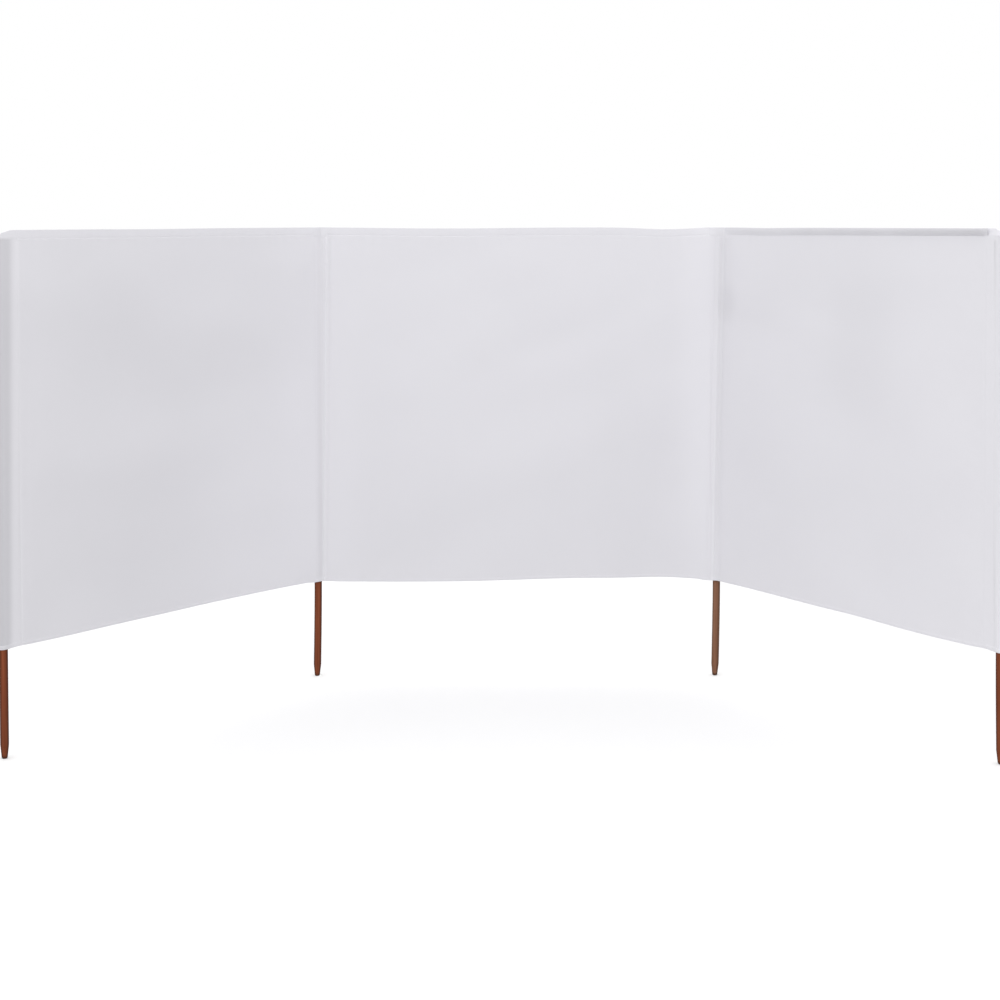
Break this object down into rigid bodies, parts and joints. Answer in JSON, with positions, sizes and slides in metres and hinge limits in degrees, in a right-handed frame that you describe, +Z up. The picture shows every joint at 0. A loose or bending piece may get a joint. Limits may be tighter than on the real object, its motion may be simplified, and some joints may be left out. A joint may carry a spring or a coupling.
{
  "type": "beach windbreak",
  "caption": "Folding beach windbreak: plain white cloth bays with sewn pockets on pointed wooden poles, standing as a three-sided shelter.",
  "frame": {"origin": "centre of the blunt foot of the left-hand middle pole", "axes": "+X along the middle bay to the other middle pole, +Y away from the sheltered side, +Z up"},
  "size_m": [2.8722, 1.1903, 1.52],
  "materials": {
    "cloth": "matte",
    "pole_wood": "satin"
  },
  "bodies": {
    "centre_bay": {"left_pole": "pole_wood", "left_pocket": "cloth", "left_mouth_hem": "cloth", "right_pole": "pole_wood", "right_pocket": "cloth", "right_mouth_hem": "cloth", "middle_panel": "cloth", "middle_top_hem": "cloth", "middle_bottom_hem": "cloth"},
    "left_bay": {"left_end_pole": "pole_wood", "left_end_pocket": "cloth", "left_end_mouth_hem": "cloth", "left_panel": "cloth", "left_top_hem": "cloth", "left_bottom_hem": "cloth", "left_pocket_seam": "cloth"},
    "right_bay": {"right_end_pole": "pole_wood", "right_end_pocket": "cloth", "right_end_mouth_hem": "cloth", "right_panel": "cloth", "right_top_hem": "cloth", "right_bottom_hem": "cloth", "right_pocket_seam": "cloth"}
  },
  "joints": [
    {"name": "left_fold", "type": "hinge", "parent": "centre_bay", "child": "left_bay", "pos_m": [0, 0, 0], "axis": [0, 0, 1], "range_deg": [-171, 65]},
    {"name": "right_fold", "type": "hinge", "parent": "centre_bay", "child": "right_bay", "pos_m": [1.348, 0, 0], "axis": [0, 0, -1], "range_deg": [-177.5, 58.5]}
  ]
}
